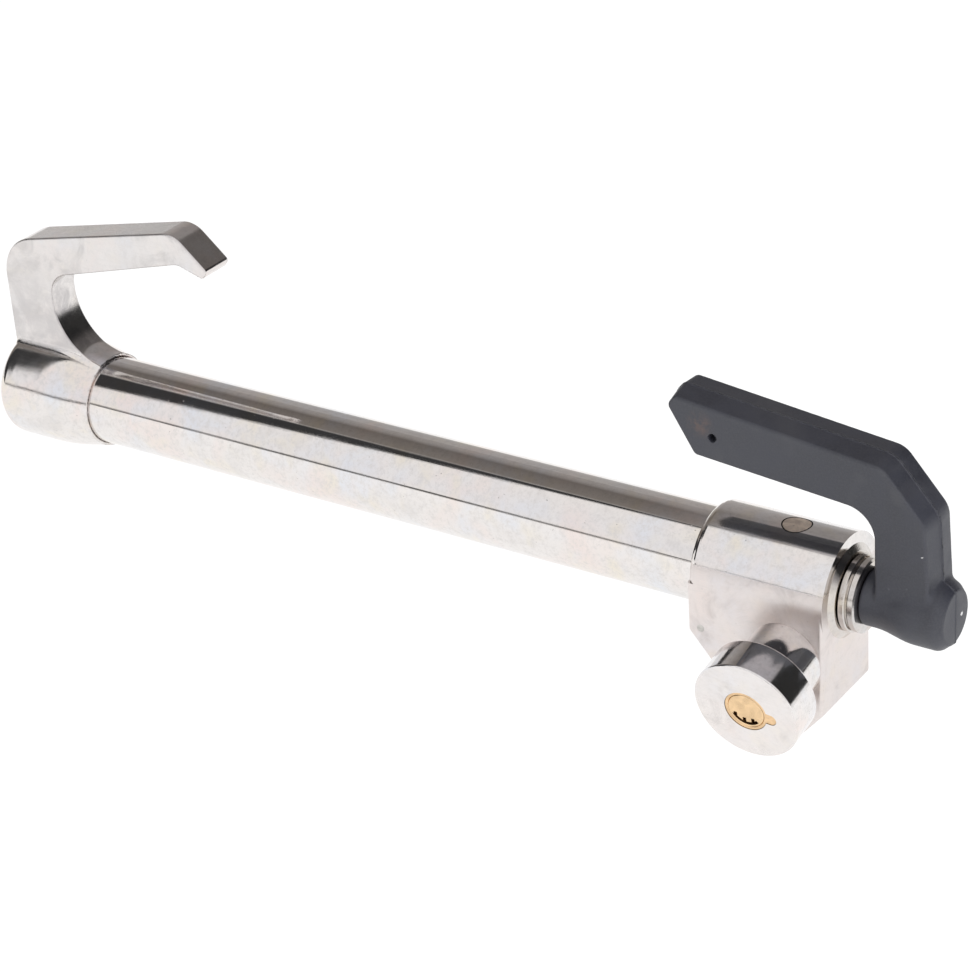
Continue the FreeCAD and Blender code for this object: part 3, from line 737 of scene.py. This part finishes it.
HOOK_BOX = ((-2.0, -22.0, -22.0), (100.0, 22.0, 78.5))
HOOK_HALF = 6.5
HOOK_EDGE = 0.7
HOOK_BACK_X = 1.0
HOOK_FOOT_X = 47.5
HOOK_FOOT_Z = 2.0
HOOK_THROAT_X = 22.0
HOOK_THROAT_Z = 15.5
HOOK_THROAT_R = 23.5
HOOK_THROAT_TOP_Z = HOOK_THROAT_Z + HOOK_THROAT_R
HOOK_TIP_X, HOOK_TIP_Z = 83.0, 76.05
HOOK_OUTLINE = [
    (HOOK_BACK_X, HOOK_FOOT_Z, 0), (HOOK_BACK_X, 58.5, 17.0), (HOOK_TIP_X, HOOK_TIP_Z, 10.0),
    (HOOK_TIP_X + 14.0, HOOK_TIP_Z - 12.2, 1.6), (HOOK_TIP_X + 11.6, HOOK_TIP_Z - 15.2, 1.6),
    (HOOK_TIP_X + 0.5, HOOK_TIP_Z - 11.8, 6.0), (HOOK_THROAT_X, 47.8, 10.0),
    (HOOK_THROAT_X, HOOK_THROAT_Z, HOOK_THROAT_R), (HOOK_FOOT_X, HOOK_THROAT_Z, 0),
    (HOOK_FOOT_X, HOOK_FOOT_Z, 0),
]
CAP_R = 20.0
CAP_MOUTH_X = 41.0
CAP_MOUTH_R = 17.1
CAP_OUTLINE = [
    (0.0, -5.0, 0), (0.0, CAP_R - 0.15, 4.2), (7.0, CAP_R, 40.0), (26.35, CAP_R, 74.0),
    (CAP_MOUTH_X, CAP_MOUTH_R, 0), (CAP_MOUTH_X, -5.0, 0),
]
HOOK_CAP_BLEND = 1.6
HOOK_BEHIND_MOUTH = 0.15
SOCKET_R = 16.05
SOCKET_FLOOR_X = 12.0
SOCKET_EDGE = 0.3

hook_side = Outline(HOOK_OUTLINE)
cap_side = Outline(CAP_OUTLINE)


def hook_field(points):
    x, y, z = points.T
    past_mouth = x - CAP_MOUTH_X
    below_throat = HOOK_THROAT_TOP_Z - z
    hook = rounded_and(hook_side.distance(points[:, [0, 2]]), np.abs(y) - HOOK_HALF, HOOK_EDGE)
    hook = np.maximum(hook, np.minimum(past_mouth + HOOK_BEHIND_MOUTH, below_throat))
    radius = np.hypot(y, z)
    cap = np.maximum(cap_side.distance(np.stack([x, radius], 1)), past_mouth)
    body = join(hook, cap, HOOK_CAP_BLEND)
    body = np.maximum(body, np.minimum(past_mouth, below_throat))
    socket = np.maximum(radius - SOCKET_R, SOCKET_FLOOR_X - x)
    return carve(body, socket, SOCKET_EDGE)


def make_hook():
    hook = surface_net("hook", hook_field, *HOOK_BOX)
    stand_in(hook, "tube", "hook_cap", "chrome_casting")


make_hook()


# ---- world -----------------------------------------------------------------------

# Tent colour by the angle around X in degrees: 0 faces the lock, 90 is overhead.
TENT = [
    (-180.0, (0.95, 0.95, 0.95)),
    (-120.0, (1.0, 1.0, 1.0)),
    (0.0, (1.0, 0.97, 0.955)),
    (20.0, (0.96, 0.96, 0.985)),
    (86.0, (0.97, 0.955, 0.95)),
    (92.0, (0.22, 0.20, 0.185)),
    (124.0, (0.165, 0.147, 0.137)),
    (136.0, (0.33, 0.31, 0.30)),
    (150.0, (0.41, 0.39, 0.38)),
    (168.0, (0.43, 0.415, 0.41)),
    (176.0, (0.50, 0.49, 0.48)),
    (180.0, (0.72, 0.72, 0.72)),
]

# The gap overhead starts at a turn of BASE + (RATE - BEND * d) * d degrees, d being how far
# the direction's x is past START, at most REACH.
GAP_EDGE_BASE = 43.0
GAP_EDGE_RATE = 362.7
GAP_EDGE_BEND = 737.0
GAP_EDGE_START = -0.656
GAP_EDGE_REACH = 0.24


def gap_mask(g, x, turn):
    """Dark gap between the tent's front and its back, over the hook's side."""
    across = g.math("MINIMUM", g.math("SUBTRACT", x, GAP_EDGE_START), GAP_EDGE_REACH)
    edge = g.math("SUBTRACT", GAP_EDGE_RATE, g.times(across, GAP_EDGE_BEND))
    edge = g.math("ADD", g.times(edge, across), GAP_EDGE_BASE)
    past = g.smooth(g.math("SUBTRACT", turn, edge), -1.2, 1.2)
    before = g.smooth(turn, 88.5, 91.0, 1.0, 0.0)
    fading = g.smooth(x, -0.44, -0.40, 1.0, 0.0)
    return g.times(past, before, fading)


def tent_patches(g, x, y, z, turn):
    """Masks and colours laid over the tent, one after the other."""
    overhead = g.times(g.smooth(turn, 84.0, 92.0), g.smooth(turn, 150.0, 170.0, 1.0, 0.0))
    over_lock = g.times(g.smooth(x, -0.47, -0.39), overhead)
    haze = g.mix(g.smooth(y, 0.42, 0.60), rgb(0.45, 0.435, 0.46), rgb(0.30, 0.285, 0.28))
    behind = g.times(g.smooth(y, 0.52, 0.60), g.smooth(x, 0.0, 0.15), g.smooth(z, 0.0, 0.05))
    right = g.times(g.smooth(x, 0.44, 0.50), g.smooth(z, 0.01, 0.03), g.smooth(y, 0.20, 0.40))
    horizon = g.times(g.smooth(turn, 3.2, 4.2), g.smooth(turn, 6.8, 7.8, 1.0, 0.0))
    return [
        (over_lock, haze),
        (behind, rgb(0.13, 0.12, 0.115)),
        (gap_mask(g, x, turn), rgb(0.045, 0.045, 0.047)),
        (right, grey(0.03)),
        (horizon, grey(0.12)),
    ]


def make_world():
    """White tent with a dark gap overhead, a grey back and a dark right side.

    The camera itself sees plain white."""
    world = bpy.data.worlds.new("tent")
    bpy.context.scene.world = world
    world.use_nodes = True
    g = Graph(world.node_tree)
    ray = g.node("SeparateXYZ", {"Vector": g.node("TexCoord").outputs["Generated"]})
    x, y, z = ray.outputs
    turn = g.times(g.math("ARCTAN2", z, g.times(y, -1.0)), 180.0 / math.pi)
    around = g.times(g.math("ADD", turn, 180.0), 1.0 / 360.0)
    sky = g.ramp(around, [((angle + 180.0) / 360.0, rgb(*tone)) for angle, tone in TENT])
    for mask, colour in tent_patches(g, x, y, z, turn):
        sky = g.mix(mask, sky, colour)
    sky = g.mix(g.node("LightPath").outputs["Is Camera Ray"], sky, grey(1.0))
    background = g.node("Background", {"Color": sky, "Strength": 1.0})
    output = g.node("OutputWorld")
    g.tree.links.new(background.outputs[0], output.inputs["Surface"])


make_world()


# ---- floor -----------------------------------------------------------------------

STEEPEST_FLOOR = -0.2
FLOOR_TRIES = 2001
FLOOR_HALF = 3.0
FLOOR_CLEARANCE = 0.0002
FLOOR_GLOW = 0.93


def resting_line():
    """Slope and height of the floor under the lock: the line that its two ends stand on."""
    points = []
    for name in ("hook_cap", "lock_housing", "lock_guard"):
        mesh = nodes[name].data
        places = np.empty(len(mesh.vertices) * 3)
        mesh.vertices.foreach_get("co", places)
        points.append(places.reshape(-1, 3)[:, [0, 2]])
    points = np.concatenate(points)
    middle = (cad_low.x + cad_high.x) / 2

    def height(tilt):
        return (points[:, 1] - tilt * points[:, 0]).min()

    tilts = np.linspace(STEEPEST_FLOOR, 0.0, FLOOR_TRIES)
    best = max(tilts, key=lambda tilt: height(tilt) + tilt * middle)
    return best, height(best)


def make_floor():
    tilt, height = resting_line()
    material, g = new_material("floor paper")
    fibre = g.noise(g.place(), 60.0, 4.0, 0.6)
    colour = g.mix(fibre, grey(0.17), grey(0.19))
    g.surface(Base_Color=colour, Roughness=0.9, Specular_IOR_Level=0.1,
              Emission_Color=grey(1.0), Emission_Strength=FLOOR_GLOW)
    corners = []
    for x, y in ((-1, -1), (1, -1), (1, 1), (-1, 1)):
        level = height + tilt * x * FLOOR_HALF - FLOOR_CLEARANCE
        corners.append((x * FLOOR_HALF, y * FLOOR_HALF, level))
    mesh = bpy.data.meshes.new("floor")
    mesh.from_pydata(corners, [], [(0, 1, 2, 3)])
    mesh.materials.append(material)
    floor = bpy.data.objects.new("floor", mesh)
    bpy.context.scene.collection.objects.link(floor)


make_floor()


# ---- lights and camera -------------------------------------------------------------

LIGHT_TARGET = (0.19, 0.0, 0.0)
CAMERA_PLACE = (0.70555, -0.69927, 0.46349)
CAMERA_TURN = 35.67
CAMERA_RISE = 28.11
CAMERA_ROLL = -4.19
CAMERA_LENS = 107.54
CAMERA_SENSOR = 36.0


def softbox(name, place, size, power):
    """Square light aimed at the lock and left out of its reflections."""
    data = bpy.data.lights.new(name, "AREA")
    data.shape = "SQUARE"
    data.size = size
    data.energy = power
    light = bpy.data.objects.new(name, data)
    light.location = place
    aim = Vector(LIGHT_TARGET) - Vector(place)
    light.rotation_euler = aim.to_track_quat("-Z", "Y").to_euler()
    light.visible_glossy = False
    bpy.context.scene.collection.objects.link(light)


def make_camera():
    """Camera above the lock and to its right; the turn is counted from -Y. Angles in degrees."""
    turn, lift, roll = (math.radians(v) for v in (CAMERA_TURN, CAMERA_RISE, CAMERA_ROLL))
    flat = math.cos(lift)
    back = Vector((math.sin(turn) * flat, -math.cos(turn) * flat, math.sin(lift)))
    level = Vector((math.cos(turn), math.sin(turn), 0.0))
    up = back.cross(level)
    side = level * math.cos(roll) + up * math.sin(roll)
    top = up * math.cos(roll) - level * math.sin(roll)
    axes = Matrix((side, top, back)).transposed()
    data = bpy.data.cameras.new("camera")
    data.lens = CAMERA_LENS
    data.sensor_width = CAMERA_SENSOR
    camera = bpy.data.objects.new("camera", data)
    camera.matrix_world = Matrix.Translation(CAMERA_PLACE) @ axes.to_4x4()
    bpy.context.scene.collection.objects.link(camera)
    bpy.context.scene.camera = camera


softbox("front softbox", (0.2, -1.6, 0.12), 1.2, 8.0)
softbox("right softbox", (1.6, -0.3, 0.3), 1.0, 11.0)
softbox("back softbox", (0.3, 1.4, 1.1), 1.0, 6.0)
make_camera()
bpy.context.scene.view_settings.view_transform = "Standard"
